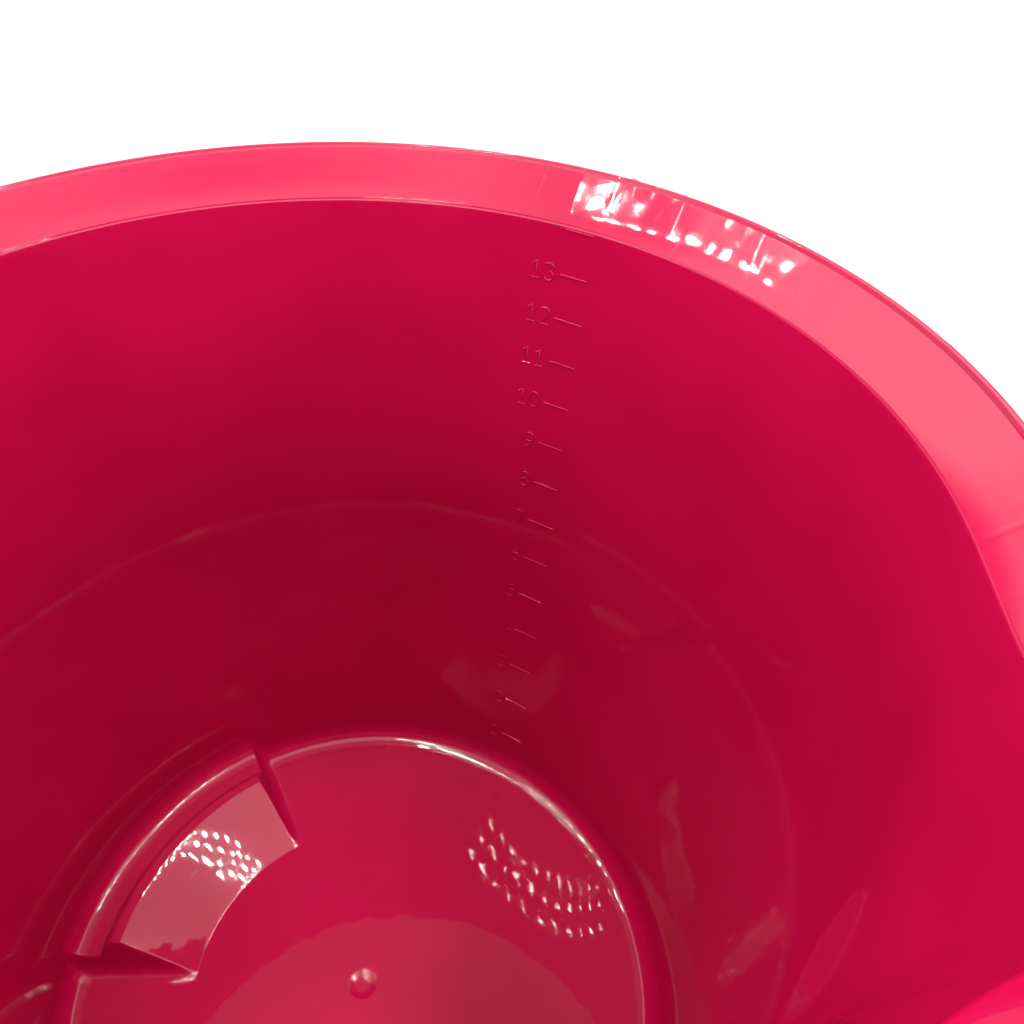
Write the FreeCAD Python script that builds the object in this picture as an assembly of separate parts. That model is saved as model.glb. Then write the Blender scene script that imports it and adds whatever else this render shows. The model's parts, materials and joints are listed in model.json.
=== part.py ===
import FreeCAD, Part
import math
import os

# All lengths are in millimetres and angles in degrees. Z = 0 is the plane the bucket stands on,
# the bucket's axis is Z, the pouring spout is on +X and the bail's pivots are on the Y axis.

# Floor, wall and foot of the moulded shell
FLOOR_Z = 8.0
FLOOR_THICKNESS = 2.2
FLOOR_RADIUS = 114.7
WALL_TAPER = 0.118
WALL_THICKNESS = 2.0
CORNER_RADIUS = 9.0
FOOT_WIDTH = 2.6
RING_RIB_RADIUS = 80.5
RING_RIB_WIDTH = 1.6
RING_RIB_Z = 2.0
GATE_RADIUS = 5.5
GATE_DEPTH = 0.5
GATE_STUB_RADIUS = 2.5
GATE_STUB_HEIGHT = 1.2

# Flared collar round the mouth, with its lip and skirt. Offsets are measured out from the inner rim edge.
RIM_Z = FLOOR_Z + 260.4
FLARE_OFFSET = 13.3
FLARE_RISE = 12.0
LIP_OFFSET = 13.8
COLLAR_OFFSET = 15.6
COLLAR_RISE = 13.3
COLLAR_THICKNESS = 2.0
SKIRT_Z = 264.0
SKIRT_THICKNESS = 1.8
RIB_THICKNESS = 1.4
RIB_STEP = 21.6
RIBS_PER_SIDE = 3
RIB_SETBACK = 1.5

# Pouring spout: a rounded V in plan that leans out from the wall
SPOUT_FLANK = 54.7
SPOUT_NOSE = 26.0
SPOUT_CENTRE = 137.5
SPOUT_LEAN = 0.36
SPOUT_FOOT_Z = 170.0
SPOUT_BACK = 50.0

# Finger recess in the base, opposite the spout. Heights are above the inner floor.
RECESS_HALF_ANGLE = 31.6
RECESS_DRAFT = 34.0
RECESS_INNER_RADIUS = 66.0
RECESS_CREASE_RADIUS = 77.5
RECESS_CREASE_HEIGHT = 5.85
RECESS_TOP_RADIUS = 95.0
RECESS_TOP_HEIGHT = 15.0
RECESS_LAND_RADIUS = 100.3
CHANNEL_RADIUS = 102.7
CHANNEL_HEIGHT = 8.5
RECESS_WALL = 2.2
POCKET_CHAMFER = 4.0

# Litre scale moulded on the inside of the wall
LITRES = 14
MARK_LENGTH = 9.9
MARK_HEIGHT = 0.7
MARK_RELIEF = 0.4
SCALE_LEAD = 0.174

# Bail ears and pivots
PIVOT_Z = 256.0
EAR_FACE_Y = 162.2
EAR_THICKNESS = 3.2
EAR_RADIUS = 13.0
EAR_TOP_Z = 276.0
EAR_TOP_HALF_WIDTH = 15.0
WEB_SPACING = 11.8
WEB_THICKNESS = 1.8
WEB_LOW_Z = 247.0
WEB_HIGH_Z = 276.4
BOSS_RADIUS = 6.5
BORE_END_Y = 148.5
BORE_CLEARANCE = 0.05
NUB_X = 10.1
NUB_RADIUS = 2.0
NUB_PROUD = 1.1

# Bail wire and its grip, in the bail's own plane: reach is the distance from the pivot axis
WIRE_RADIUS = 2.25
PIN_END_Y = 149.5
LEG_Y = 171.0
LEG_BEND = 6.0
BAIL_REACH = 200.0
BAIL_BEND = 116.0
GRIP_HALF_LENGTH = 50.0
GRIP_RADIUS = 12.5
GRIP_BORE_CLEARANCE = 0.10
GRIP_FLANGE = 4.0
GRIP_EDGE = 1.2
GRIP_SCALLOPS = 4
GRIP_SCALLOP_DEPTH = 1.5
GRIP_SHOULDER = 0.5
BAIL_WALL_GAP = 0.8

# Extra length of a form where it runs into another or cuts past its surface
OVERLAP = 1.0
OVERCUT = 5.0
CUBIC_MM_PER_LITRE = 1e6

TOP_Z = RIM_Z + COLLAR_RISE
UP = FreeCAD.Vector(0, 0, 1)
ACROSS = FreeCAD.Vector(0, 1, 0)
CENTRE = FreeCAD.Vector(0, 0, 0)


def wall_radius(z):
    """Inner radius of the tapered wall at height z."""
    return FLOOR_RADIUS + WALL_TAPER * (z - FLOOR_Z)


RIM_RADIUS = wall_radius(RIM_Z)


def in_plane(r, z):
    return FreeCAD.Vector(r, 0, z)


def revolved(outline, angle=360.0):
    """Solid made by turning a closed (radius, height) outline round the bucket's axis."""
    points = [in_plane(r, z) for r, z in outline]
    face = Part.Face(Part.makePolygon(points + [points[0]]))
    return face.revolve(CENTRE, UP, angle)


def spout_outline(z, centre_x, nose):
    """Closed plan outline of the spout: two straight flanks tangent to a round nose."""
    flank = math.radians(SPOUT_FLANK)
    tip = centre_x + nose / math.sin(flank)
    touch_x = centre_x + nose * math.sin(flank)
    touch_y = nose * math.cos(flank)
    back_x = tip - SPOUT_BACK
    back_y = SPOUT_BACK * math.tan(flank)
    start = FreeCAD.Vector(back_x, -back_y, z)
    low = FreeCAD.Vector(touch_x, -touch_y, z)
    front = FreeCAD.Vector(centre_x + nose, 0, z)
    high = FreeCAD.Vector(touch_x, touch_y, z)
    end = FreeCAD.Vector(back_x, back_y, z)
    edges = [
        Part.makeLine(start, low),
        Part.Arc(low, front, high).toShape(),
        Part.makeLine(high, end),
        Part.makeLine(end, start),
    ]
    return Part.Wire(edges)


def wall_level(z, offset):
    """Height, radius and spout of a surface that follows the wall, offset outward from its inside."""
    centre_x = SPOUT_CENTRE - SPOUT_LEAN * (RIM_Z - z)
    return z, wall_radius(z) + offset, centre_x, SPOUT_NOSE + offset


def collar_level(z, offset):
    """The same for a surface of the collar, offset outward from the inner rim edge."""
    return z, RIM_RADIUS + offset, SPOUT_CENTRE, SPOUT_NOSE + offset


def form(levels):
    """Solid of revolution through the levels, with the spout added wherever it stands out."""
    outline = [(radius, z) for z, radius, centre_x, nose in levels]
    body = revolved([(0, levels[0][0])] + outline + [(0, levels[-1][0])])
    wires = [spout_outline(z, x, nose) for z, radius, x, nose in levels if z >= SPOUT_FOOT_Z]
    for lower, upper in zip(wires, wires[1:]):
        body = body.fuse(Part.makeLoft([lower, upper], True, True))
    return body


def make_cavity():
    """The space that holds the water, with the flare of the collar above it."""
    cavity = form([
        wall_level(FLOOR_Z, 0),
        wall_level(SPOUT_FOOT_Z, 0),
        wall_level(RIM_Z, 0),
        collar_level(RIM_Z + FLARE_RISE, FLARE_OFFSET),
        collar_level(TOP_Z, LIP_OFFSET),
        collar_level(TOP_Z + OVERCUT, LIP_OFFSET),
    ])
    corner = [edge for edge in cavity.Edges if edge.BoundBox.ZMax < FLOOR_Z + OVERLAP]
    return cavity.makeFillet(CORNER_RADIUS, corner)


def make_envelope():
    """Outer form of the wall and of the collar, with nothing hollow yet."""
    wall = form([
        wall_level(0, WALL_THICKNESS),
        wall_level(SPOUT_FOOT_Z, WALL_THICKNESS),
        wall_level(RIM_Z, WALL_THICKNESS),
    ])
    collar = form([collar_level(SKIRT_Z, COLLAR_OFFSET), collar_level(TOP_Z, COLLAR_OFFSET)])
    return wall.fuse(collar)


def rib_angles():
    """Azimuths of the ribs: stepped out from each ear, with one more opposite the spout."""
    angles = [180.0]
    for ear in (90.0, 270.0):
        for step in range(1, RIBS_PER_SIDE + 1):
            angles.append(ear - step * RIB_STEP)
            angles.append(ear + step * RIB_STEP)
    return angles


def make_rib(angle):
    """Upright rib that fills the groove under the collar at one azimuth."""
    length = COLLAR_OFFSET + 2 * OVERLAP
    rib = Part.makeBox(length, RIB_THICKNESS, COLLAR_RISE + OVERCUT)
    rib.translate(FreeCAD.Vector(RIM_RADIUS - OVERLAP, -RIB_THICKNESS / 2, SKIRT_Z + RIB_SETBACK))
    rib.rotate(CENTRE, UP, angle)
    return rib


def make_groove():
    """The space under the collar, between the wall and the skirt, with the ribs left standing."""
    slope = math.atan2(FLARE_RISE, FLARE_OFFSET)
    start_offset = COLLAR_THICKNESS * math.sin(slope)
    start_z = RIM_Z - COLLAR_THICKNESS * math.cos(slope)
    skirt_offset = COLLAR_OFFSET - SKIRT_THICKNESS
    end_z = start_z + (skirt_offset - start_offset) * math.tan(slope)
    groove = form([collar_level(SKIRT_Z - OVERLAP, skirt_offset), collar_level(end_z, skirt_offset)])
    wall = form([wall_level(SPOUT_FOOT_Z, WALL_THICKNESS), wall_level(RIM_Z, WALL_THICKNESS)])
    past = OVERLAP * math.tan(slope)
    flare = form([collar_level(start_z, start_offset), collar_level(end_z + past, skirt_offset + OVERLAP)])
    groove = groove.cut(wall).cut(flare)
    return groove.cut(Part.makeCompound([make_rib(angle) for angle in rib_angles()]))


def recess_wedge(inset):
    """Space between the two drafted end walls of the finger recess, moved inward by inset."""
    half = math.radians(RECESS_HALF_ANGLE)
    draft = math.tan(math.radians(RECESS_DRAFT))
    side = RIM_RADIUS
    wires = []
    for height in (-FLOOR_Z - OVERLAP, RECESS_TOP_HEIGHT + OVERCUT):
        apex = -(height * draft + inset) / math.sin(half)
        z = FLOOR_Z + height
        corner_x = apex - side * math.cos(half)
        corner_y = side * math.sin(half)
        corners = [
            FreeCAD.Vector(apex, 0, z),
            FreeCAD.Vector(corner_x, corner_y, z),
            FreeCAD.Vector(corner_x, -corner_y, z),
        ]
        wires.append(Part.makePolygon(corners + [corners[0]]))
    return Part.makeLoft(wires, True, True)


def above_floor(r, height):
    """Point at a radius and a height above the inside of the floor."""
    return in_plane(r, FLOOR_Z + height)


def lines(points):
    """Straight edges from each (radius, height above the floor) point to the next."""
    corners = [above_floor(r, height) for r, height in points]
    return [Part.makeLine(start, end) for start, end in zip(corners, corners[1:])]


def recess_sector(edges):
    """A closed outline turned through a little more than the recess's part of a turn."""
    sweep = 2.5 * RECESS_HALF_ANGLE
    sector = Part.Face(Part.Wire(edges)).revolve(CENTRE, UP, sweep)
    sector.rotate(CENTRE, UP, 180 - sweep / 2)
    return sector


def make_recess_roof():
    """The raised sector that roofs the finger recess, with the channel behind it."""
    bend_top = CHANNEL_HEIGHT + CORNER_RADIUS
    wall_foot = wall_radius(FLOOR_Z + bend_top)
    bend_start = wall_foot - CORNER_RADIUS
    half_way = CORNER_RADIUS * math.sqrt(0.5)
    bend = Part.Arc(
        above_floor(bend_start, CHANNEL_HEIGHT),
        above_floor(bend_start + half_way, bend_top - half_way),
        above_floor(wall_foot, bend_top),
    )
    top = lines([
        (RECESS_INNER_RADIUS, -OVERLAP),
        (RECESS_INNER_RADIUS, 0),
        (RECESS_CREASE_RADIUS, RECESS_CREASE_HEIGHT),
        (RECESS_TOP_RADIUS, RECESS_TOP_HEIGHT),
        (RECESS_LAND_RADIUS, RECESS_TOP_HEIGHT),
        (CHANNEL_RADIUS, CHANNEL_HEIGHT),
        (bend_start, CHANNEL_HEIGHT),
    ])
    back = lines([
        (wall_foot, bend_top),
        (wall_foot + OVERLAP, bend_top),
        (wall_foot + OVERLAP, -OVERLAP),
        (RECESS_INNER_RADIUS, -OVERLAP),
    ])
    return recess_sector(top + [bend.toShape()] + back).common(recess_wedge(0))


def make_finger_pocket():
    """The hollow that the fingers enter from below, one wall thickness under the roof."""
    foot_radius = wall_radius(0) + WALL_THICKNESS - FOOT_WIDTH
    slope = math.atan2(RECESS_TOP_HEIGHT, RECESS_TOP_RADIUS - RECESS_INNER_RADIUS)
    back_slope = math.atan2(RECESS_TOP_HEIGHT - CHANNEL_HEIGHT, CHANNEL_RADIUS - RECESS_LAND_RADIUS)
    front_shift = RECESS_WALL * math.tan(slope / 2)
    back_shift = RECESS_WALL * math.tan(back_slope / 2)
    under_land = RECESS_TOP_HEIGHT - RECESS_WALL
    under_channel = CHANNEL_HEIGHT - RECESS_WALL
    open_end = -FLOOR_Z - OVERLAP
    edges = lines([
        (RECESS_INNER_RADIUS + front_shift, open_end),
        (RECESS_INNER_RADIUS + front_shift, -RECESS_WALL),
        (RECESS_CREASE_RADIUS + front_shift, RECESS_CREASE_HEIGHT - RECESS_WALL),
        (RECESS_TOP_RADIUS + front_shift, under_land),
        (RECESS_LAND_RADIUS - back_shift, under_land),
        (CHANNEL_RADIUS - back_shift, under_channel),
        (foot_radius - POCKET_CHAMFER, under_channel),
        (foot_radius, under_channel - POCKET_CHAMFER),
        (foot_radius, open_end),
        (RECESS_INNER_RADIUS + front_shift, open_end),
    ])
    return recess_sector(edges).common(recess_wedge(RECESS_WALL))


def make_base_hollow():
    """The space inside the foot ring, under the floor."""
    radius = wall_radius(0) + WALL_THICKNESS - FOOT_WIDTH
    height = FLOOR_Z - FLOOR_THICKNESS
    hollow = Part.makeCylinder(radius, height + OVERLAP, FreeCAD.Vector(0, 0, -OVERLAP))
    outer = RING_RIB_RADIUS + RING_RIB_WIDTH / 2
    ring = Part.makeCylinder(outer, height, FreeCAD.Vector(0, 0, RING_RIB_Z))
    ring = ring.cut(Part.makeCylinder(outer - RING_RIB_WIDTH, height, FreeCAD.Vector(0, 0, RING_RIB_Z)))
    stub_z = height - GATE_STUB_HEIGHT
    stub = Part.makeCylinder(GATE_STUB_RADIUS, height, FreeCAD.Vector(0, 0, stub_z))
    return hollow.cut(ring).cut(stub)


def make_gate_mark():
    """The shallow round dimple that the moulding gate leaves in the middle of the floor."""
    sphere = (GATE_RADIUS**2 + GATE_DEPTH**2) / (2 * GATE_DEPTH)
    return Part.makeSphere(sphere, FreeCAD.Vector(0, 0, FLOOR_Z - GATE_DEPTH + sphere))


def litre_height(litres):
    """Height at which a cone of the wall's taper, standing on the floor, holds this many litres."""
    volume = (litres - SCALE_LEAD) * CUBIC_MM_PER_LITRE
    cube = FLOOR_RADIUS**3 + 3 * WALL_TAPER * volume / math.pi
    return FLOOR_Z + (cube ** (1 / 3) - FLOOR_RADIUS) / WALL_TAPER


def make_scale():
    """The raised lines of the litre scale, one for each litre, under the ear on +Y."""
    marks = []
    for litres in range(1, LITRES + 1):
        z = litre_height(litres)
        mark = Part.makeBox(MARK_LENGTH, MARK_RELIEF + OVERLAP, MARK_HEIGHT)
        mark.translate(FreeCAD.Vector(-MARK_LENGTH / 2, wall_radius(z) - MARK_RELIEF, z - MARK_HEIGHT / 2))
        marks.append(mark)
    return marks


def make_ear_plate():
    """Outer plate of an ear: straight sides that run down to a round end about the pivot."""
    low = FreeCAD.Vector(0, EAR_FACE_Y - EAR_THICKNESS, PIVOT_Z)
    left = low + FreeCAD.Vector(-EAR_RADIUS, 0, 0)
    right = low + FreeCAD.Vector(EAR_RADIUS, 0, 0)
    bottom = low + FreeCAD.Vector(0, 0, -EAR_RADIUS)
    rise = EAR_TOP_Z - PIVOT_Z
    top_left = low + FreeCAD.Vector(-EAR_TOP_HALF_WIDTH, 0, rise)
    top_right = low + FreeCAD.Vector(EAR_TOP_HALF_WIDTH, 0, rise)
    edges = [
        Part.makeLine(top_left, left),
        Part.Arc(left, bottom, right).toShape(),
        Part.makeLine(right, top_right),
        Part.makeLine(top_right, top_left),
    ]
    return Part.Face(Part.Wire(edges)).extrude(FreeCAD.Vector(0, EAR_THICKNESS, 0))


def make_ear():
    """The bail ear on +Y: plate, two webs, pivot boss and the nub on the lip above it."""
    plate = make_ear_plate()
    inner_y = wall_radius(WEB_LOW_Z)
    webs = []
    for side in (-1, 1):
        x = side * WEB_SPACING / 2 - WEB_THICKNESS / 2
        web = Part.makeBox(WEB_THICKNESS, EAR_FACE_Y - OVERLAP - inner_y, WEB_HIGH_Z - WEB_LOW_Z)
        web.translate(FreeCAD.Vector(x, inner_y, WEB_LOW_Z))
        webs.append(web)
    boss = Part.makeCylinder(BOSS_RADIUS, EAR_FACE_Y - inner_y, FreeCAD.Vector(0, inner_y, PIVOT_Z), ACROSS)
    collar_radius = RIM_RADIUS + COLLAR_OFFSET
    nub_y = math.sqrt(collar_radius**2 - NUB_X**2) + NUB_PROUD - NUB_RADIUS
    nub = Part.makeSphere(NUB_RADIUS, FreeCAD.Vector(NUB_X, nub_y, TOP_Z - NUB_RADIUS))
    return plate.multiFuse(webs + [boss, nub])


def make_bore():
    """Hole for the bail's pivot pin in the ear on +Y, blind towards the wall."""
    radius = WIRE_RADIUS + BORE_CLEARANCE
    length = EAR_FACE_Y - BORE_END_Y + OVERCUT
    return Part.makeCylinder(radius, length, FreeCAD.Vector(0, BORE_END_Y, PIVOT_Z), ACROSS)


def both_ears(shape):
    """The shape on +Y and its mirror image on -Y."""
    return [shape, shape.mirror(CENTRE, ACROSS)]


def make_bucket_shell():
    """The whole moulding: wall, floor, foot, collar, spout, ears, finger recess and litre scale."""
    cavity = make_cavity()
    shell = make_envelope().cut(cavity).cut(make_groove())
    ears = [ear.cut(cavity) for ear in both_ears(make_ear())]
    shell = shell.multiFuse(ears + [make_recess_roof()])
    shell = shell.cut(make_base_hollow()).cut(make_finger_pocket()).cut(make_gate_mark())
    shell = shell.multiFuse(make_scale())
    for bore in both_ears(make_bore()):
        shell = shell.cut(bore)
    return shell.removeSplitter()


def hang_angle():
    """Angle below level at which the grip comes to rest just clear of the bucket's outer wall."""
    slope = math.atan(WALL_TAPER)
    gap = (GRIP_RADIUS + BAIL_WALL_GAP) / math.cos(slope)
    wall = wall_radius(PIVOT_Z) + WALL_THICKNESS + gap
    return math.degrees(math.acos(wall * math.cos(slope) / BAIL_REACH) + slope)


def hung(shape):
    """Turns a shape made with the bail upright over the pivot axis to where the bail hangs."""
    shape.rotate(FreeCAD.Vector(0, 0, PIVOT_Z), ACROSS, -(90 + hang_angle()))
    return shape


def bail_point(y, reach):
    return FreeCAD.Vector(0, y, PIVOT_Z + reach)


def bail_side(side):
    """Edges from the pivot pin up to the straight top of the bail, on one side."""
    bend = LEG_BEND * math.sqrt(0.5)
    sweep = BAIL_BEND * math.sqrt(0.5)
    bend_y = LEG_Y - LEG_BEND
    leg_top = BAIL_REACH - BAIL_BEND
    flat_y = LEG_Y - BAIL_BEND
    pin = Part.makeLine(bail_point(side * PIN_END_Y, 0), bail_point(side * bend_y, 0))
    turn = Part.Arc(
        bail_point(side * bend_y, 0),
        bail_point(side * (bend_y + bend), LEG_BEND - bend),
        bail_point(side * LEG_Y, LEG_BEND),
    )
    leg = Part.makeLine(bail_point(side * LEG_Y, LEG_BEND), bail_point(side * LEG_Y, leg_top))
    shoulder = Part.Arc(
        bail_point(side * LEG_Y, leg_top),
        bail_point(side * (flat_y + sweep), leg_top + sweep),
        bail_point(side * flat_y, BAIL_REACH),
    )
    return [pin, turn.toShape(), leg, shoulder.toShape()]


def make_bail_wire():
    """The bent wire with its two pivot pins, swept along one path."""
    flat_y = LEG_Y - BAIL_BEND
    top = Part.makeLine(bail_point(-flat_y, BAIL_REACH), bail_point(flat_y, BAIL_REACH))
    path = Part.Wire(Part.__sortEdges__(bail_side(-1) + [top] + bail_side(1)))
    ring = Part.Wire(Part.makeCircle(WIRE_RADIUS, bail_point(-PIN_END_Y, 0), ACROSS))
    return hung(path.makePipeShell([ring], True, False))


def make_handle_grip():
    """Tube with a flange at each end and four shallow scallops for the fingers between them."""
    bore = WIRE_RADIUS + GRIP_BORE_CLEARANCE
    body = GRIP_HALF_LENGTH - GRIP_FLANGE
    pitch = 2 * body / GRIP_SCALLOPS
    edges = []
    corners = [
        (-body, GRIP_RADIUS - GRIP_SHOULDER),
        (-body - GRIP_EDGE, GRIP_RADIUS),
        (-GRIP_HALF_LENGTH + GRIP_EDGE, GRIP_RADIUS),
        (-GRIP_HALF_LENGTH, GRIP_RADIUS - GRIP_EDGE),
        (-GRIP_HALF_LENGTH, bore),
        (GRIP_HALF_LENGTH, bore),
        (GRIP_HALF_LENGTH, GRIP_RADIUS - GRIP_EDGE),
        (GRIP_HALF_LENGTH - GRIP_EDGE, GRIP_RADIUS),
        (body + GRIP_EDGE, GRIP_RADIUS),
        (body, GRIP_RADIUS - GRIP_SHOULDER),
    ]
    points = [FreeCAD.Vector(radius, along, 0) for along, radius in corners]
    for start, end in zip(points, points[1:]):
        edges.append(Part.makeLine(start, end))
    for scallop in range(GRIP_SCALLOPS):
        start = body - scallop * pitch
        rise = GRIP_RADIUS - GRIP_SHOULDER
        edges.append(Part.Arc(
            FreeCAD.Vector(rise, start, 0),
            FreeCAD.Vector(rise - GRIP_SCALLOP_DEPTH, start - pitch / 2, 0),
            FreeCAD.Vector(rise, start - pitch, 0),
        ).toShape())
    grip = Part.Face(Part.Wire(edges)).revolve(CENTRE, ACROSS, 360)
    grip.translate(bail_point(0, BAIL_REACH))
    return hung(grip)


def main():
    os.makedirs("parts", exist_ok=True)
    nodes = {
        "bucket_shell": make_bucket_shell(),
        "bail_wire": make_bail_wire(),
        "handle_grip": make_handle_grip(),
    }
    for name, shape in nodes.items():
        shape.exportStep("parts/" + name + ".step")
        box = shape.BoundBox
        print(name, shape.isValid(), len(shape.Solids), round(shape.Volume), box)
    print("hang angle", round(hang_angle(), 2))


main()
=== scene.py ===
import json
import math

import bmesh
import bpy
import numpy as np
from mathutils import Matrix, Vector


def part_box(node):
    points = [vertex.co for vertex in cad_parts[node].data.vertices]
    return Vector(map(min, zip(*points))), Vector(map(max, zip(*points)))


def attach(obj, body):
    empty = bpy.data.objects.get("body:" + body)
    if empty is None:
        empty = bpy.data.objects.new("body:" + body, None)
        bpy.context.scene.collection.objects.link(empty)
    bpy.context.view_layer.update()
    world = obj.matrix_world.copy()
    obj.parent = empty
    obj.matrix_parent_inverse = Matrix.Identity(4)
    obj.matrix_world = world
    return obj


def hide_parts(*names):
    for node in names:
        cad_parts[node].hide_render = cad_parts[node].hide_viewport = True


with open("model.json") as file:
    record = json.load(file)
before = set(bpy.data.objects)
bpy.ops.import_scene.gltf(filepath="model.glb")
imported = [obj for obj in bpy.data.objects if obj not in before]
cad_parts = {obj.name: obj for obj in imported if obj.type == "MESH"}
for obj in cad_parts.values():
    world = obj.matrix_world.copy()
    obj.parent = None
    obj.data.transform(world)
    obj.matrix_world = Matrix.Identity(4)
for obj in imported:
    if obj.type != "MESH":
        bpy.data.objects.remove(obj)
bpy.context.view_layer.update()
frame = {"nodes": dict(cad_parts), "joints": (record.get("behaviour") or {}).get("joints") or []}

# ---------------------------------------------------------------- sizes, in metres and radians
MM = 0.001
SHELL_LOW, SHELL_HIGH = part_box("bucket_shell")
PIVOT = Vector(frame["joints"][0]["pos_m"])
LEVEL = 0.01 * MM  # heights closer than this count as the same

# Collar: a flare from the rim edge up to the lip, and a skirt hanging from the lip
TOP_Z = SHELL_HIGH.z
COLLAR_RADIUS = -SHELL_LOW.x
COLLAR_THICKNESS = 2.0 * MM
RIM_Z = TOP_Z - 13.3 * MM
RIM_ROUNDING = 2.2 * MM
FLARE_OFFSET = 13.3 * MM
FLARE_RISE = 12.0 * MM
FLARE_ROUNDING = 0.3 * MM
LIP_OFFSET = 13.8 * MM
LIP_INNER_ROUNDING = 0.6 * MM
LIP_OUTER_ROUNDING = 0.8 * MM
SKIRT_Z = TOP_Z - 17.7 * MM
SKIRT_THICKNESS = 1.8 * MM
SKIRT_ROUNDING = 0.5 * MM
SKIRT_ROW = 6 * MM
GROOVE_OUTER_ROUNDING = 0.8 * MM
GROOVE_INNER_ROUNDING = 1.0 * MM
GROOVE_JOIN_RISE = 0.6 * MM

# Wall, floor and foot ring
FLOOR_Z = 8.0 * MM
FLOOR_THICKNESS = 2.2 * MM
FLOOR_RADIUS = 114.7 * MM
WALL_TAPER = 0.118
WALL_THICKNESS = 2.0 * MM
WALL_ROWS = 60
RIM_RADIUS = FLOOR_RADIUS + WALL_TAPER * (RIM_Z - FLOOR_Z)
CORNER_RADIUS = 9.0 * MM
CORNER_STEPS = 18
FOOT_WIDTH = 2.6 * MM
FOOT_ROUNDING = 0.8 * MM
FOOT_INNER_HEIGHT = 2.5 * MM
FOOT_CORNER = 1.8 * MM
FOOT_CORNER_STEPS = 6

# Heights where one profile of the shell hands over to the next
RIM_JOIN_Z = RIM_Z - 3 * MM
GROOVE_END_Z = SKIRT_Z - 1 * MM
OUTER_WALL_TOP_Z = SKIRT_Z - 2 * MM
FOOT_JOIN_Z = 3 * MM

# Marks in the floor: the gate's dimple above, the sprue stub and a stiffening ring below
GATE_RADIUS = 5.5 * MM
GATE_DEPTH = 1.0 * MM
GATE_FLATNESS = 1.3
FLOOR_CENTRE_RADII = (0.8, 8.0)  # mm, the span of the close rings round the gate
FLOOR_RINGS = 18
RING_RIB_RADIUS = 80.5 * MM
RING_RIB_WIDTH = 1.6 * MM
RING_RIB_DEPTH = 3.8 * MM
STUB_RADIUS = 2.5 * MM
STUB_HEIGHT = 1.2 * MM
STUB_FOOT = 1.2  # radius of the stub's foot, in stub radii

# Pouring spout: straight flanks tangent to a round nose that leans with height
SPOUT_FLANK = math.radians(54.7)
SPOUT_NOSE = 26.0 * MM
SPOUT_CENTRE = 137.5 * MM
SPOUT_LEAN = 0.36
SPOUT_CREASE = 7.0 * MM
SPOUT_LEAST_NOSE = 1 * MM
SPOUT_LEAST_RADIUS = 90 * MM
SPOUT_HALF_ANGLE = 0.8
FLANK_SINE_LIMIT = 2.9  # keeps the flank's sine above zero behind the spout

# Finger recess: a sector of the floor raised to a slope, a land and a channel by the wall
RECESS_HALF_ANGLE = math.radians(31.6)
RECESS_INNER = 66.0 * MM
RECESS_CREASE = (77.5 * MM, 5.85 * MM)
RECESS_TOP = (95.0 * MM, 15.0 * MM)
RECESS_LAND_END = 100.3 * MM
CHANNEL_START = 102.7 * MM
CHANNEL_HEIGHT = 8.5 * MM
RECESS_DRAFT = math.radians(20.6)
RECESS_FILLET = 6.0 * MM
RECESS_CORNER = 4.6 * MM
RECESS_WALL = 2.2 * MM
RECESS_MARGIN = 4 * MM
RECESS_ROW = 1.6 * MM
RECESS_FILLET_STEPS = 6
FLOOR_ROUNDING = 1.2 * MM
CREASE_ROUNDING = 0.5 * MM
TOP_ROUNDING = 0.4 * MM
LAND_ROUNDING = 3.6 * MM
CHANNEL_ROUNDING = 2.0 * MM
EDGE_SOFTNESS = 0.8 * MM
# How the underside's corners shift and how their rounding changes, in wall thicknesses
UNDER_SHIFT = 0.8
UNDER_LAND_TIGHTER = 0.9
UNDER_CHANNEL_WIDER = 0.6

# Columns of the shell's mesh, in degrees: their pitch everywhere and where there is detail
COLUMN_PITCH = 1.5
LEAST_COLUMN_GAP = 0.12
RECESS_END_SPAN = (10, 0.6)  # before and after the recess's end
RECESS_END_PITCH = 0.2
SPOUT_SPAN = 28
SPOUT_PITCH = 0.75

# Litre scale
LITRES = 14
SCALE_LEAD = 0.174
MARK_LENGTH = 9.9 * MM
MARK_SEGMENTS = 4
DIGIT_HEIGHT = 6.0 * MM
DIGIT_WIDTH = 0.6  # of the height
DIGIT_PITCH = 4.7 * MM
DIGIT_GAP = 2.0 * MM
STROKE_RADIUS = 0.33 * MM
ARC_PITCH = 15  # degrees
LEAST_ARC_STEPS = 4

# Bail ears, in line with the joint's pivots on the Y axis
EAR_AZIMUTHS = (90.0, 270.0)
EAR_FACE_Y = SHELL_HIGH.y
EAR_THICKNESS = 3.2 * MM
EAR_RADIUS = 13.0 * MM
EAR_STEPS = 24
EAR_TOP_Z = PIVOT.z + 20.0 * MM
EAR_TOP_HALF_WIDTH = 15.0 * MM
EAR_BEVEL = 0.6 * MM
WEB_SPACING = 11.8 * MM
WEB_THICKNESS = 1.8 * MM
WEB_LOW_Z = PIVOT.z - 9.0 * MM
BOSS_RADIUS = 6.5 * MM
BOSS_PROUD = 0.8 * MM
BOSS_SEGMENTS = 48

# Ribs in the collar's groove, and the sink lines that ribs and webs leave in the flare
RIB_THICKNESS = 1.4 * MM
RIB_PITCH = 21.6  # degrees
RIBS_PER_SIDE = 3
RIB_FOOT = 1.5 * MM  # above the skirt's lower edge
RIB_BEVEL = 0.3 * MM
COLLAR_INSET = 1.0 * MM  # ribs and webs end this far inside the collar's surfaces
SINK_DEPTH = 0.06 * MM
SINK_HALF_WIDTH = 0.3  # degrees
SINK_START = 1 * MM  # from the rim edge
BEVEL_SEGMENTS = 3
BEVEL_ANGLE = math.radians(35)

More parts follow.
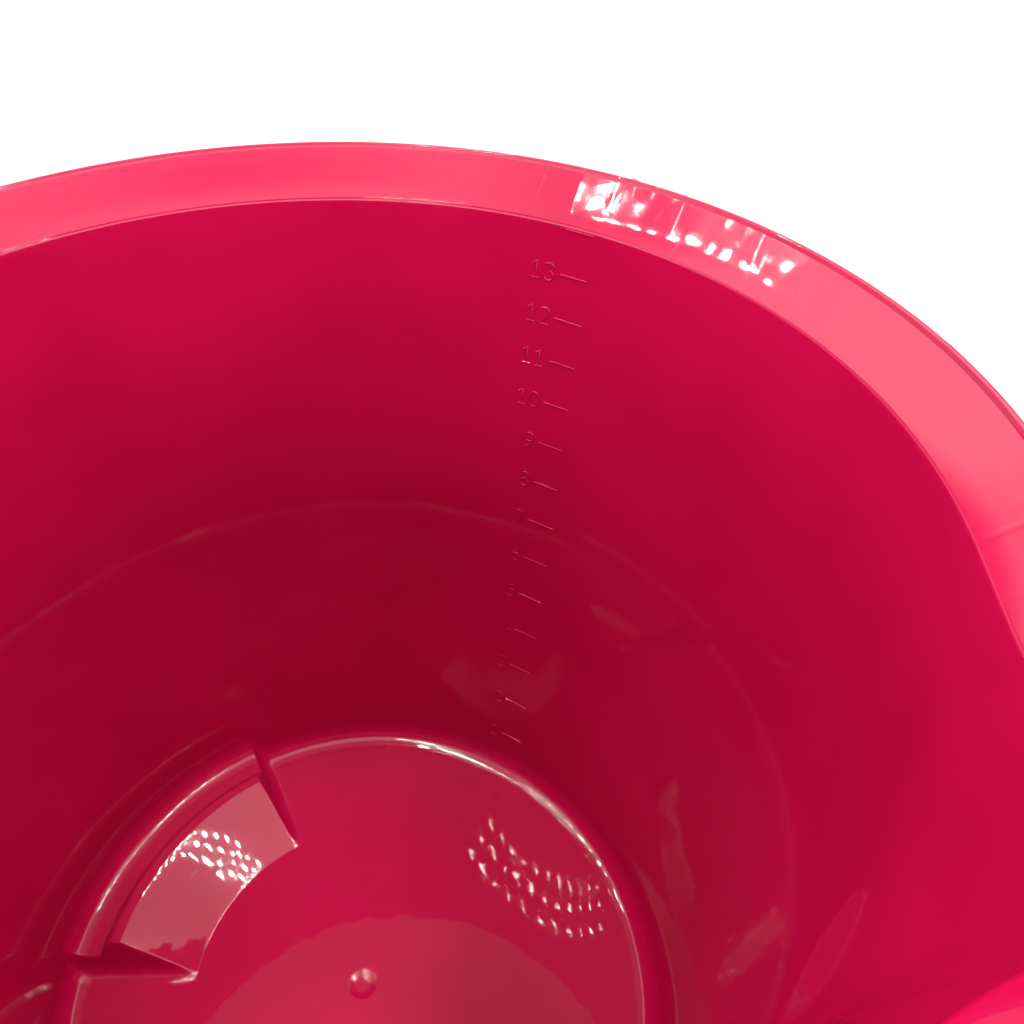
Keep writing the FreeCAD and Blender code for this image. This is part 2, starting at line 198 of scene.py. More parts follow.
# Nubs on the edge of the lip, beside the ears
NUB_X = 10.1 * MM
NUB_SIZE = (3.0 * MM, 1.7 * MM, 1.8 * MM)
NUB_PROUD = 1.4 * MM
NUB_SEGMENTS = (24, 16)

# ---------------------------------------------------------------- settings for light and camera
# Sky strength against the height of the direction, from 0 at level to 1 straight up
SKY_PEAK = 4.0
SKY_FRONT = (
    (0.0, 3.3), (0.40, 3.3), (0.56, 0.15), (0.74, 0.15), (0.84, 2.1), (0.92, 2.1), (0.98, 0.56),
)
SKY_BACK = (
    (0.0, 1.1), (0.22, 1.1), (0.32, 0.4), (0.44, 0.4),
    (0.56, 3.0), (0.74, 3.0), (0.86, 0.45), (1.0, 0.45),
)
FRONT_AZIMUTH = math.radians(-43.8)  # towards the camera's side
SKY_BLEND = 0.25

LAMP_ROWS = 3
LAMP_PITCH = 28 * MM
LAMP_SIZE = 5 * MM
# Each bar's name, centre, the way its rows run in degrees, lamps in a row, and power in watts
LAMP_BARS = (
    ("lamp_bar_left", (-0.425, -0.045, 1.0), 147, 11, 3.6),
    ("lamp_bar_near", (-0.03, -0.36, 1.0), 141, 10, 1.7),
    ("lamp_bar_middle", (-0.195, 0.025, 1.0), 111, 11, 1.8),
    ("lamp_bar_right", (0.42, 0.22, 1.0), 122, 22, 5.5),
)

STUDIO_FLOOR_HALF = 6.0
STUDIO_FLOOR_GREY = 0.8
STUDIO_FLOOR_ROUGHNESS = 0.8

CAMERA_PLACE = (0.11575, -0.11100, 0.40634)
CAMERA_HEADING = math.radians(30.86)
CAMERA_TILT = math.radians(90 - 40.68)  # up from straight down
CAMERA_ROLL = math.radians(0.60)
CAMERA_SENSOR = 36.0  # mm
CAMERA_LENS = 33.64  # mm
CAMERA_SHIFT = (0.0354, -0.0370)
CAMERA_CLIP = 0.01


def wall_radius(z):
    """Inside radius of the tapered wall at this height."""
    return FLOOR_RADIUS + WALL_TAPER * (z - FLOOR_Z)


# ---------------------------------------------------------------- materials
def new_material(name):
    """A fresh node material, with its nodes and its links."""
    material = bpy.data.materials.new(name)
    material.use_nodes = True
    return material, material.node_tree.nodes, material.node_tree.links


def add_node(nodes, kind, **settings):
    node = nodes.new(kind)
    for key, value in settings.items():
        setattr(node, key, value)
    return node


def noise(nodes, links, coords, scale, detail, roughness):
    node = add_node(nodes, "ShaderNodeTexNoise")
    node.inputs["Scale"].default_value = scale
    node.inputs["Detail"].default_value = detail
    node.inputs["Roughness"].default_value = roughness
    links.new(coords, node.inputs["Vector"])
    return node.outputs["Fac"]


def ramp(nodes, links, value, low, high):
    """Maps value from the range (low[0], high[0]) to (low[1], high[1])."""
    node = add_node(nodes, "ShaderNodeMapRange")
    node.inputs["From Min"].default_value = low[0]
    node.inputs["To Min"].default_value = low[1]
    node.inputs["From Max"].default_value = high[0]
    node.inputs["To Max"].default_value = high[1]
    links.new(value, node.inputs["Value"])
    return node.outputs["Result"]


def bump(nodes, links, height, distance, strength, normal=None):
    """Bump of the given distance in metres, on top of an earlier bump if there is one."""
    node = add_node(nodes, "ShaderNodeBump")
    node.inputs["Strength"].default_value = strength
    node.inputs["Distance"].default_value = distance
    links.new(height, node.inputs["Height"])
    if normal is not None:
        links.new(normal, node.inputs["Normal"])
    return node.outputs["Normal"]


def scratch_mask(nodes, links, coords, turn, scale):
    """Thin straight scuffs that run one way, as a 0 to 1 mask."""
    stretch = 0.03
    mapping = add_node(nodes, "ShaderNodeMapping")
    mapping.inputs["Rotation"].default_value = turn
    mapping.inputs["Scale"].default_value = (scale, scale * stretch, scale * stretch)
    links.new(coords, mapping.inputs["Vector"])
    lines = noise(nodes, links, mapping.outputs["Vector"], scale=1.0, detail=2.0, roughness=0.6)
    return ramp(nodes, links, lines, (0.68, 0.0), (0.74, 1.0))


def combine(nodes, links, operation, a, b):
    """Result of a Math node whose two inputs are sockets or plain numbers."""
    node = add_node(nodes, "ShaderNodeMath", operation=operation)
    for socket, value in zip(node.inputs, (a, b)):
        if isinstance(value, float):
            socket.default_value = value
        else:
            links.new(value, socket)
    return node.outputs["Value"]


def two_tone(nodes, links, value, span, first, second):
    """Base colour that goes from the first tone to the second as value crosses the span."""
    colour = add_node(nodes, "ShaderNodeMix", data_type="RGBA")
    colour.inputs["A"].default_value = (*first, 1)
    colour.inputs["B"].default_value = (*second, 1)
    links.new(ramp(nodes, links, value, (span[0], 0.0), (span[1], 1.0)), colour.inputs["Factor"])
    links.new(colour.outputs["Result"], nodes["Principled BSDF"].inputs["Base Color"])


def shell_plastic():
    """Glossy crimson polypropylene with flow unevenness, fine scuffs and faint cloudiness."""
    material, nodes, links = new_material("crimson_polypropylene")
    shader = nodes["Principled BSDF"]
    coords = add_node(nodes, "ShaderNodeTexCoord").outputs["Object"]
    cloud = noise(nodes, links, coords, scale=14.0, detail=4.0, roughness=0.55)
    two_tone(nodes, links, cloud, (0.35, 0.65), (0.350, 0.0022, 0.037), (0.400, 0.0030, 0.045))
    scuffs = combine(
        nodes, links, "MAXIMUM",
        scratch_mask(nodes, links, coords, turn=(0.3, 0.2, 0.5), scale=1500.0),
        scratch_mask(nodes, links, coords, turn=(-0.4, 0.6, 2.1), scale=1100.0),
    )
    smears = noise(nodes, links, coords, scale=38.0, detail=5.0, roughness=0.6)
    smudge = ramp(nodes, links, smears, (0.4, 0.022), (0.7, 0.040))
    scuffed = combine(nodes, links, "MULTIPLY", scuffs, 0.10)
    links.new(combine(nodes, links, "ADD", smudge, scuffed), shader.inputs["Roughness"])
    shader.inputs["IOR"].default_value = 1.49
    shader.inputs["Subsurface Weight"].default_value = 0.0
    flow = noise(nodes, links, coords, scale=55.0, detail=2.0, roughness=0.5)
    peel = noise(nodes, links, coords, scale=420.0, detail=2.0, roughness=0.5)
    normal = bump(nodes, links, flow, distance=0.00020, strength=0.35)
    normal = bump(nodes, links, peel, distance=0.00001, strength=0.35, normal=normal)
    links.new(normal, shader.inputs["Normal"])
    return material


def wire_steel():
    """Zinc-plated drawn wire with a slightly mottled plating and a fine grain."""
    material, nodes, links = new_material("zinc_plated_wire")
    shader = nodes["Principled BSDF"]
    coords = add_node(nodes, "ShaderNodeTexCoord").outputs["Object"]
    mottle = noise(nodes, links, coords, scale=300.0, detail=4.0, roughness=0.6)
    two_tone(nodes, links, mottle, (0.35, 0.65), (0.42, 0.43, 0.45), (0.66, 0.67, 0.68))
    shader.inputs["Metallic"].default_value = 1.0
    links.new(ramp(nodes, links, mottle, (0.3, 0.22), (0.7, 0.42)), shader.inputs["Roughness"])
    grain = noise(nodes, links, coords, scale=2500.0, detail=2.0, roughness=0.5)
    normal = bump(nodes, links, grain, distance=0.00002, strength=0.4)
    links.new(normal, shader.inputs["Normal"])
    return material


def grip_plastic():
    """Satin black moulded plastic with a fine spark-eroded grain and hand-polished high spots."""
    material, nodes, links = new_material("black_grip_plastic")
    shader = nodes["Principled BSDF"]
    coords = add_node(nodes, "ShaderNodeTexCoord").outputs["Object"]
    wear = noise(nodes, links, coords, scale=60.0, detail=4.0, roughness=0.6)
    two_tone(nodes, links, wear, (0.35, 0.7), (0.016, 0.016, 0.018), (0.032, 0.032, 0.034))
    links.new(ramp(nodes, links, wear, (0.3, 0.52), (0.7, 0.36)), shader.inputs["Roughness"])
    grain = noise(nodes, links, coords, scale=3200.0, detail=2.0, roughness=0.6)
    normal = bump(nodes, links, grain, distance=0.00006, strength=0.6)
    links.new(normal, shader.inputs["Normal"])
    return material


CRIMSON = shell_plastic()
STEEL = wire_steel()
BLACK = grip_plastic()


# ---------------------------------------------------------------- the moulded shell
def smooth_max(a, b, width):
    """The larger of a and b, with the crease between them rounded over width."""
    near = np.maximum(width - np.abs(a - b), 0) / width
    return np.maximum(a, b) + near * near * width / 4


def smooth_min(a, b, width):
    return -smooth_max(-a, -b, width)


def spout_reach(angle, centre_x, nose):
    """Distance from the axis to the spout's outline: straight flanks tangent to a round nose."""
    angle = np.abs(angle)
    tip = centre_x + nose / math.sin(SPOUT_FLANK)
    touch = math.atan2(nose * math.cos(SPOUT_FLANK), centre_x + nose * math.sin(SPOUT_FLANK))
    across = np.minimum(centre_x * np.sin(np.minimum(angle, touch)), nose)
    round_part = centre_x * np.cos(angle) + np.sqrt(nose * nose - across * across)
    flank_turn = np.minimum(angle + SPOUT_FLANK, FLANK_SINE_LIMIT)
    flank = tip * math.sin(SPOUT_FLANK) / np.sin(flank_turn)
    return np.where(angle <= touch, round_part, np.where(angle < SPOUT_HALF_ANGLE, flank, 0.0))


def pushed_out(radius, z, angles, on_collar):
    """Radius at each angle of a profile point, with the spout standing out where it should."""
    drop = 0.0 if on_collar else max(RIM_Z - z, 0.0)
    reference = RIM_RADIUS if on_collar else wall_radius(min(z, RIM_Z))
    nose = SPOUT_NOSE + radius - reference
    if radius < SPOUT_LEAST_RADIUS or nose < SPOUT_LEAST_NOSE:
        return np.full(len(angles), radius)
    reach = spout_reach(angles, SPOUT_CENTRE - SPOUT_LEAN * drop, nose)
    return smooth_max(np.full(len(angles), radius), reach, SPOUT_CREASE)


def fillet(points, steps=5):
    """Rounds an open outline's corners. Each point is (radius, height, rounding, on_collar)."""
    out = [points[0][:2] + points[0][3:]]
    for before, corner, after in zip(points, points[1:], points[2:]):
        here = Vector(corner[:2])
        back = (Vector(before[:2]) - here).normalized()
        ahead = (Vector(after[:2]) - here).normalized()
        if corner[2] == 0:
            out.append(corner[:2] + corner[3:])
            continue
        half = back.angle(ahead) / 2
        centre = here + (back + ahead).normalized() * (corner[2] / math.sin(half))
        start = here + back * (corner[2] / math.tan(half)) - centre
        turn = (math.pi - 2 * half) * (1 if back.x * ahead.y - back.y * ahead.x < 0 else -1)
        for step in range(steps + 1):
            spoke = Matrix.Rotation(turn * step / steps, 2) @ start
            out.append((centre.x + spoke.x, centre.y + spoke.y, corner[3]))
    out.append(points[-1][:2] + points[-1][3:])
    return out


def steps_between(start, end, count):
    """Evenly spaced numbers from start, stopping one step short of end."""
    return [start + (end - start) * i / count for i in range(count)]


def subdivided(points, longest):
    """The same outline with points added so that no straight stretch is longer than longest."""
    out = [points[0]]
    for before, after in zip(points, points[1:]):
        count = max(1, math.ceil(math.dist(before, after) / longest))
        for step in range(1, count + 1):
            part = step / count
            r = before[0] + (after[0] - before[0]) * part
            h = before[1] + (after[1] - before[1]) * part
            out.append((r, h))
    return out


def recess_outline(thickness):
    """Radius and height of the recess's roof, or of its underside where thickness is not 0."""
    slope = math.atan2(RECESS_TOP[1], RECESS_TOP[0] - RECESS_INNER)
    shift = thickness * math.tan(slope / 2)
    back = thickness * UNDER_SHIFT
    land_rounding = LAND_ROUNDING - thickness * UNDER_LAND_TIGHTER
    channel_rounding = CHANNEL_ROUNDING + thickness * UNDER_CHANNEL_WIDER
    points = [
        (RECESS_INNER - RECESS_MARGIN, 0.0, 0.0),
        (RECESS_INNER + shift, 0.0, FLOOR_ROUNDING),
        (RECESS_CREASE[0] + shift, RECESS_CREASE[1], CREASE_ROUNDING),
        (RECESS_TOP[0] + shift, RECESS_TOP[1], TOP_ROUNDING),
        (RECESS_LAND_END - back, RECESS_TOP[1], land_rounding),
        (CHANNEL_START - back, CHANNEL_HEIGHT, channel_rounding),
        (CHANNEL_START + RECESS_MARGIN, CHANNEL_HEIGHT, 0.0),
    ]
    rounded = fillet([(r, h, size, False) for r, h, size in points], RECESS_FILLET_STEPS)
    return subdivided([point[:2] for point in rounded], RECESS_ROW)


def floor_rings():
    """Radii of the plain rings round the middle of the floor, close together at the gate mark."""
    inner, outer = FLOOR_CENTRE_RADII
    last = (RECESS_INNER - RECESS_MARGIN) / MM
    radii = steps_between(inner, outer, FLOOR_RINGS) + steps_between(outer, last, FLOOR_RINGS)
    return [radius * MM for radius in radii]


def inner_profile():
    """Rows of the inside, from the middle of the floor up to the rim.

    Each row of a profile is a pair of (radius, height, on_collar) points: where the surface
    lies away from the recess, and where it lies inside the recess.
    """
    slope = math.atan(WALL_TAPER)
    rows = [((r, FLOOR_Z, False), (r, FLOOR_Z, False)) for r in floor_rings()]
    rows += [((r, FLOOR_Z, False), (r, FLOOR_Z + h, False)) for r, h in recess_outline(0)[:-1]]
    plain_z = FLOOR_Z + CORNER_RADIUS
    raised_z = plain_z + CHANNEL_HEIGHT
    plain_r = wall_radius(plain_z) - CORNER_RADIUS / math.cos(slope)
    raised_r = wall_radius(raised_z) - CORNER_RADIUS / math.cos(slope)
    for step in range(CORNER_STEPS + 1):
        turn = (math.pi / 2 - slope) * step / CORNER_STEPS
        out = CORNER_RADIUS * math.sin(turn)
        down = CORNER_RADIUS * math.cos(turn)
        plain = (plain_r + out, plain_z - down, False)
        rows.append((plain, (raised_r + out, raised_z - down, False)))
    plain_start = plain_z - CORNER_RADIUS * math.sin(slope)
    raised_start = raised_z - CORNER_RADIUS * math.sin(slope)
    for step in range(1, WALL_ROWS + 1):
        part = step / WALL_ROWS
        z = plain_start + (RIM_JOIN_Z - plain_start) * part
        lifted = raised_start + (RIM_JOIN_Z - raised_start) * part
        rows.append(((wall_radius(z), z, False), (wall_radius(lifted), lifted, False)))
    return rows


def collar_profile():
    """Rows of the rim, flare, lip, skirt and the groove under the collar, to the outer wall."""
    slope = math.atan2(FLARE_RISE, FLARE_OFFSET)
    under_r = RIM_RADIUS + COLLAR_THICKNESS * math.sin(slope)
    under_z = RIM_Z - COLLAR_THICKNESS * math.cos(slope)
    skirt_r = COLLAR_RADIUS - SKIRT_THICKNESS
    skirt_top = under_z + (skirt_r - under_r) * math.tan(slope)
    wall_top = under_z + GROOVE_JOIN_RISE
    outline = [
        (wall_radius(RIM_JOIN_Z), RIM_JOIN_Z, 0, False),
        (RIM_RADIUS, RIM_Z, RIM_ROUNDING, False),
        (RIM_RADIUS + FLARE_OFFSET / 3, RIM_Z + FLARE_RISE / 3, 0, True),
        (RIM_RADIUS + 2 * FLARE_OFFSET / 3, RIM_Z + 2 * FLARE_RISE / 3, 0, True),
        (RIM_RADIUS + FLARE_OFFSET, RIM_Z + FLARE_RISE, FLARE_ROUNDING, True),
        (RIM_RADIUS + LIP_OFFSET, TOP_Z, LIP_INNER_ROUNDING, True),
        (COLLAR_RADIUS, TOP_Z, LIP_OUTER_ROUNDING, True),
        (COLLAR_RADIUS, TOP_Z - SKIRT_ROW, 0, True),
        (COLLAR_RADIUS, TOP_Z - 2 * SKIRT_ROW, 0, True),
        (COLLAR_RADIUS, SKIRT_Z, SKIRT_ROUNDING, True),
        (skirt_r, SKIRT_Z, SKIRT_ROUNDING, True),
        (skirt_r, SKIRT_Z + SKIRT_ROW, 0, True),
        (skirt_r, skirt_top, GROOVE_OUTER_ROUNDING, True),
        (wall_radius(wall_top) + WALL_THICKNESS, wall_top, GROOVE_INNER_ROUNDING, True),
        (wall_radius(SKIRT_Z) + WALL_THICKNESS, GROOVE_END_Z, 0, False),
    ]
    return [(point, point) for point in fillet(outline)[1:]]


def ring_rib_depth(radius):
    """How far the stiffening ring under the floor hangs down at this radius."""
    beside = abs(radius - RING_RIB_RADIUS)
    return RING_RIB_DEPTH * min(1.0, max(0.0, (RING_RIB_WIDTH - beside) / (RING_RIB_WIDTH / 2)))


def gate_stub_depth(radius):
    """How far the cut sprue stub under the middle of the floor hangs down at this radius."""
    foot = STUB_RADIUS * STUB_FOOT
    return STUB_HEIGHT * min(1.0, max(0.0, (foot - radius) / (foot - STUB_RADIUS)))


def outer_profile():
    """Rows of the outside of the wall, the foot ring and the underside with its finger pocket."""
    foot_radius = wall_radius(0) + WALL_THICKNESS
    inner_foot = foot_radius - FOOT_WIDTH
    floor_under = FLOOR_Z - FLOOR_THICKNESS
    channel_under = floor_under + CHANNEL_HEIGHT
    rows = []
    for z in steps_between(OUTER_WALL_TOP_Z, FOOT_JOIN_Z, WALL_ROWS):
        point = (wall_radius(z) + WALL_THICKNESS, z, False)
        rows.append((point, point))
    foot = fillet([
        (wall_radius(FOOT_JOIN_Z) + WALL_THICKNESS, FOOT_JOIN_Z, 0, False),
        (foot_radius, 0.0, FOOT_ROUNDING, False),
        (inner_foot, 0.0, FOOT_ROUNDING, False),
        (inner_foot, FOOT_INNER_HEIGHT, 0, False),
    ])
    rows += [(point, point) for point in foot]
    for step in range(FOOT_CORNER_STEPS + 1):
        turn = math.pi / 2 * step / FOOT_CORNER_STEPS
        r = inner_foot - FOOT_CORNER * (1 - math.cos(turn))
        up = FOOT_CORNER * (math.sin(turn) - 1)
        rows.append(((r, floor_under + up, False), (r, channel_under + up, False)))
    for r, h in reversed(recess_outline(RECESS_WALL)):
        plain_z = floor_under - ring_rib_depth(r)
        rows.append(((r, plain_z, False), (r, floor_under + h, False)))
    for r in reversed(floor_rings()):
        point = (r, floor_under - gate_stub_depth(r), False)
        rows.append((point, point))
    return rows


def rib_angles():
    """Angles in degrees of the upright ribs between the wall and the skirt."""
    angles = [180.0]
    for ear in EAR_AZIMUTHS:
        for step in range(1, RIBS_PER_SIDE + 1):
            angles += [ear - step * RIB_PITCH, ear + step * RIB_PITCH]
    return angles


def sink_angles():
    """Angles where a rib or an ear's web behind the flare leaves a faint sink line on it."""
    web = math.degrees(math.asin(WEB_SPACING / 2 / (RIM_RADIUS + FLARE_OFFSET / 2)))
    return rib_angles() + [ear + side * web for ear in EAR_AZIMUTHS for side in (-1, 1)]


def column_angles():
    """Angles of the mesh's columns, closer at the recess's ends, the spout and the sink lines."""
    angles = list(np.arange(-180, 180, COLUMN_PITCH))
    half = math.degrees(RECESS_HALF_ANGLE)
    before, after = RECESS_END_SPAN
    for side in (-1, 1):
        offsets = np.arange(half - before, half + after, RECESS_END_PITCH)
        angles += [180 - side * offset for offset in offsets]
    angles += list(np.arange(-SPOUT_SPAN, SPOUT_SPAN, SPOUT_PITCH))
    for sink in sink_angles():
        angles += [sink + step * SINK_HALF_WIDTH for step in (-2, -1, 0, 1, 2)]
    kept = []
    for angle in sorted((angle + 180) % 360 - 180 for angle in angles):
        if not kept or angle - kept[-1] > LEAST_COLUMN_GAP:
            kept.append(angle)
    return np.radians(np.array(kept))


def recess_share(angles, radius, rise, inset):
    """How far each column is up the recess's end wall at this radius: 0 outside, 1 inside."""
    if rise < LEVEL:
        return np.zeros(len(angles))
    from_middle = np.pi - np.abs(angles)
    inside = radius * np.sin(RECESS_HALF_ANGLE - from_middle) - inset
    into_corner = max(RECESS_CORNER - max(radius - RECESS_INNER, 0.0), 0.0)
    inside = inside - RECESS_CORNER + math.sqrt(RECESS_CORNER**2 - into_corner**2)
    foot = np.clip(inside, 0, RECESS_FILLET * math.cos(RECESS_DRAFT))
    climb = RECESS_FILLET - np.sqrt(RECESS_FILLET**2 - foot**2)
    climb = climb + (inside - foot) / math.tan(RECESS_DRAFT)
    height = smooth_min(climb, np.full(len(angles), rise), min(EDGE_SOFTNESS, rise))
    return np.clip(height / rise, 0, 1)


def sink_depths(angles):
    """Depth of the sink lines in the flare at each column."""
    depth = np.zeros(len(angles))
    for sink in sink_angles():
        away = np.abs((np.degrees(angles) - sink + 180) % 360 - 180)
        depth = np.maximum(depth, SINK_DEPTH * np.clip(1 - away / SINK_HALF_WIDTH, 0, 1))
    return depth


def shell_rows():
    """Every row of the closed surface, from the floor's middle round to the underside's."""
    angles = column_angles()
    sinks = sink_depths(angles)
    flare = (RIM_RADIUS + SINK_START, RIM_RADIUS + FLARE_OFFSET)
    inside = inner_profile() + collar_profile()
    rows = []
    for inset, profile in ((0.0, inside), (RECESS_WALL, outer_profile())):
        for plain, raised in profile:
            share = recess_share(angles, plain[0], raised[1] - plain[1], inset)
            z = plain[1] + share * (raised[1] - plain[1])
            radius = pushed_out(*plain[:2], angles, plain[2]) + share * (raised[0] - plain[0])
            if flare[0] < plain[0] < flare[1] and plain[1] > RIM_Z:
                z = z - sinks
            rows.append(np.stack([radius * np.cos(angles), radius * np.sin(angles), z], 1))
    return rows


def mark_gate(points):
    """Presses the moulding gate's shallow round dimple into the middle of the floor."""
    reach = np.hypot(points[:, 0], points[:, 1])
    depth = GATE_DEPTH * np.clip(GATE_FLATNESS * (1 - (reach / GATE_RADIUS) ** 2), 0, 1)
    points[:, 2] -= np.where(np.abs(points[:, 2] - FLOOR_Z) < LEVEL, depth, 0)
    return points


def outward_normals(mesh):
    built = bmesh.new()
    built.from_mesh(mesh)
    bmesh.ops.recalc_face_normals(built, faces=built.faces)
    built.to_mesh(mesh)
    built.free()


def mesh_from_rows(name, rows):
    """A closed smooth mesh from rings of points, capped by a fan at each end."""
    count = len(rows[0])
    first = rows[0].mean(0)
    last = rows[-1].mean(0)
    points = np.concatenate(rows + [first[None], last[None]])
    faces = []
    for row in range(len(rows) - 1):
        for column in range(count):
            after = (column + 1) % count
            a = row * count
            b = a + count
            faces.append((a + column, a + after, b + after, b + column))
    start = len(points) - 2
    end_row = (len(rows) - 1) * count
    for column in range(count):
        after = (column + 1) % count
        faces.append((start, after, column))
        faces.append((start + 1, end_row + column, end_row + after))
    mesh = bpy.data.meshes.new(name)
    mesh.from_pydata(mark_gate(points).tolist(), [], faces)
    mesh.validate()
    outward_normals(mesh)
    mesh.shade_smooth()
    return mesh


def add_piece(name, mesh, material, body):
    """Links a mesh as a piece of the object that rides on a body."""
    piece = bpy.data.objects.new(name, mesh)
    bpy.context.scene.collection.objects.link(piece)
    piece.data.materials.clear()
    piece.data.materials.append(material)
    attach(piece, body)
    return piece


# ---------------------------------------------------------------- ribs, ears and nubs of the shell
def add_prism(built, near, far):
    """Joins two matching outlines into a closed prism."""
    rings = [[built.verts.new(point) for point in outline] for outline in (near, far)]
    built.faces.new(rings[0])
    built.faces.new(reversed(rings[1]))
    for i in range(len(rings[0])):
        j = (i + 1) % len(rings[0])
        built.faces.new((rings[0][j], rings[0][i], rings[1][i], rings[1][j]))


def finished_mesh(name, built):
    """The built shape as a mesh."""
    mesh = bpy.data.meshes.new(name)
    built.to_mesh(mesh)
    built.free()
    return mesh


def add_web(built, x, side, far):
    """An upright web from the leaning wall out to the ear's plate."""
    outline = []
    for z in (WEB_LOW_Z, RIM_Z - COLLAR_INSET):
        outline.append((side * (wall_radius(z) + WALL_THICKNESS / 2), z))
        outline.insert(0, (side * far, z))
    flanks = (x - WEB_THICKNESS / 2, x + WEB_THICKNESS / 2)
    add_prism(built, *([(across, y, z) for y, z in outline] for across in flanks))


def rib_mesh():
    """Upright ribs between the wall and the skirt, each cut to the slope of the flare above it."""
    built = bmesh.new()
    low_z = SKIRT_Z + RIB_FOOT
    inner = RIM_RADIUS + COLLAR_INSET
    outer = COLLAR_RADIUS - COLLAR_INSET
    inner_z = RIM_Z - COLLAR_INSET
    outer_z = inner_z + (outer - inner) * (FLARE_RISE / FLARE_OFFSET)
    outline = [(inner, low_z), (outer, low_z), (outer, outer_z), (inner, inner_z)]
    for angle in rib_angles():
        matrix = Matrix.Rotation(math.radians(angle), 3, "Z")
        flanks = (-RIB_THICKNESS / 2, RIB_THICKNESS / 2)
        add_prism(built, *([matrix @ Vector((r, y, z)) for r, z in outline] for y in flanks))
    bmesh.ops.recalc_face_normals(built, faces=built.faces)
    return finished_mesh("collar_ribs", built)


def ear_outline():
    """Plate outline in X and Z about the pivot: straight sides down to a round end."""
    rise = EAR_TOP_Z - PIVOT.z
    points = [(-EAR_TOP_HALF_WIDTH, rise), (-EAR_RADIUS, 0.0)]
    for step in range(1, EAR_STEPS):
        turn = math.pi + math.pi * step / EAR_STEPS
        points.append((EAR_RADIUS * math.cos(turn), EAR_RADIUS * math.sin(turn)))
    return points + [(EAR_RADIUS, 0.0), (EAR_TOP_HALF_WIDTH, rise)]


def ear_mesh(side):
    """One bail ear: plate, two webs and the pivot boss. Side is 1 above +Y and -1 above -Y."""
    built = bmesh.new()
    faces_y = (EAR_FACE_Y - EAR_THICKNESS, EAR_FACE_Y)
    outline = ear_outline()
    add_prism(built, *([(x, side * y, PIVOT.z + z) for x, z in outline] for y in faces_y))
    near = wall_radius(PIVOT.z) + WALL_THICKNESS / 2
    far = EAR_FACE_Y - EAR_THICKNESS / 2
    for edge in (-1, 1):
        add_web(built, edge * WEB_SPACING / 2, side, far)
    boss_length = EAR_FACE_Y - near + BOSS_PROUD
    place = Matrix.Translation((0, side * (near + boss_length / 2), PIVOT.z))
    bmesh.ops.create_cone(
        built, cap_ends=True, segments=BOSS_SEGMENTS, radius1=BOSS_RADIUS, radius2=BOSS_RADIUS,
        depth=boss_length, matrix=place @ Matrix.Rotation(math.pi / 2, 4, "X"),
    )
    bmesh.ops.recalc_face_normals(built, faces=built.faces)
    return finished_mesh("bail_ear", built)


def nub_mesh(side):
    """A small rounded nub on the outer edge of the lip, beside the ear."""
    built = bmesh.new()
    y = math.sqrt(COLLAR_RADIUS**2 - NUB_X**2) + NUB_PROUD - NUB_SIZE[1]
    place = Matrix.Translation((NUB_X, side * y, TOP_Z - NUB_SIZE[2]))
    bmesh.ops.create_uvsphere(
        built, u_segments=NUB_SEGMENTS[0], v_segments=NUB_SEGMENTS[1], radius=1.0,
        matrix=place @ Matrix.Diagonal((*NUB_SIZE, 1.0)),
    )
    mesh = finished_mesh("lip_nub", built)
    mesh.shade_smooth()
    return mesh


def soften_edges(piece, width):
    """Rounds a moulded piece's edges by a small bevel."""
    bevel = piece.modifiers.new("moulded_edges", "BEVEL")
    bevel.width = width
    bevel.segments = BEVEL_SEGMENTS
    bevel.limit_method = "ANGLE"
    bevel.angle_limit = BEVEL_ANGLE
    piece.data.shade_smooth()


# ---------------------------------------------------------------- litre scale
def arc(cx, cy, rx, ry, start, end):
    """Points of an elliptical arc between two angles in degrees, for a numeral's strokes."""
    count = max(LEAST_ARC_STEPS, int(abs(end - start) / ARC_PITCH))
    turns = [math.radians(start + (end - start) * i / count) for i in range(count + 1)]
    return [(cx + rx * math.cos(turn), cy + ry * math.sin(turn)) for turn in turns]


# Strokes of the numerals, in units of the digit height: each cell is DIGIT_WIDTH wide, 1 high
NUMERALS = {
    "0": [arc(0.3, 0.5, 0.28, 0.5, 0, 360)],
    "1": [[(0.06, 0.8), (0.3, 1.0), (0.3, 0.0)], [(0.06, 0.0), (0.54, 0.0)]],
    "2": [arc(0.3, 0.72, 0.28, 0.28, 165, -35) + [(0.02, 0.0), (0.58, 0.0)]],
    "3": [arc(0.27, 0.76, 0.26, 0.24, 150, -80), arc(0.27, 0.27, 0.3, 0.27, 85, -150)],
    "4": [[(0.44, 0.0), (0.44, 1.0), (0.0, 0.3), (0.6, 0.3)]],
    "5": [[(0.54, 1.0), (0.1, 1.0), (0.07, 0.56)] + arc(0.28, 0.33, 0.3, 0.33, 115, -145)],
    "6": [arc(0.3, 0.31, 0.28, 0.31, 0, 360), arc(0.58, 0.31, 0.56, 0.69, 180, 100)],
    "7": [[(0.02, 1.0), (0.58, 1.0), (0.2, 0.0)]],
    "8": [arc(0.3, 0.76, 0.23, 0.24, 0, 360), arc(0.3, 0.27, 0.28, 0.27, 0, 360)],
    "9": [arc(0.3, 0.69, 0.28, 0.31, 0, 360), arc(0.02, 0.69, 0.56, 0.69, 0, -80)],
}


def litre_height(litres):
    """Height of a litre mark: where the tapered inside holds SCALE_LEAD litre less than it says."""
    volume = (litres - SCALE_LEAD) * MM
    cube = FLOOR_RADIUS**3 + 3 * WALL_TAPER * volume / math.pi
    return FLOOR_Z + (cube ** (1 / 3) - FLOOR_RADIUS) / WALL_TAPER


def on_wall(across, z):
    """Point on the inside of the wall, across to the +X side of the line above +Y."""
    radius = wall_radius(z)
    angle = math.pi / 2 - across / radius
    return (radius * math.cos(angle), radius * math.sin(angle), z)


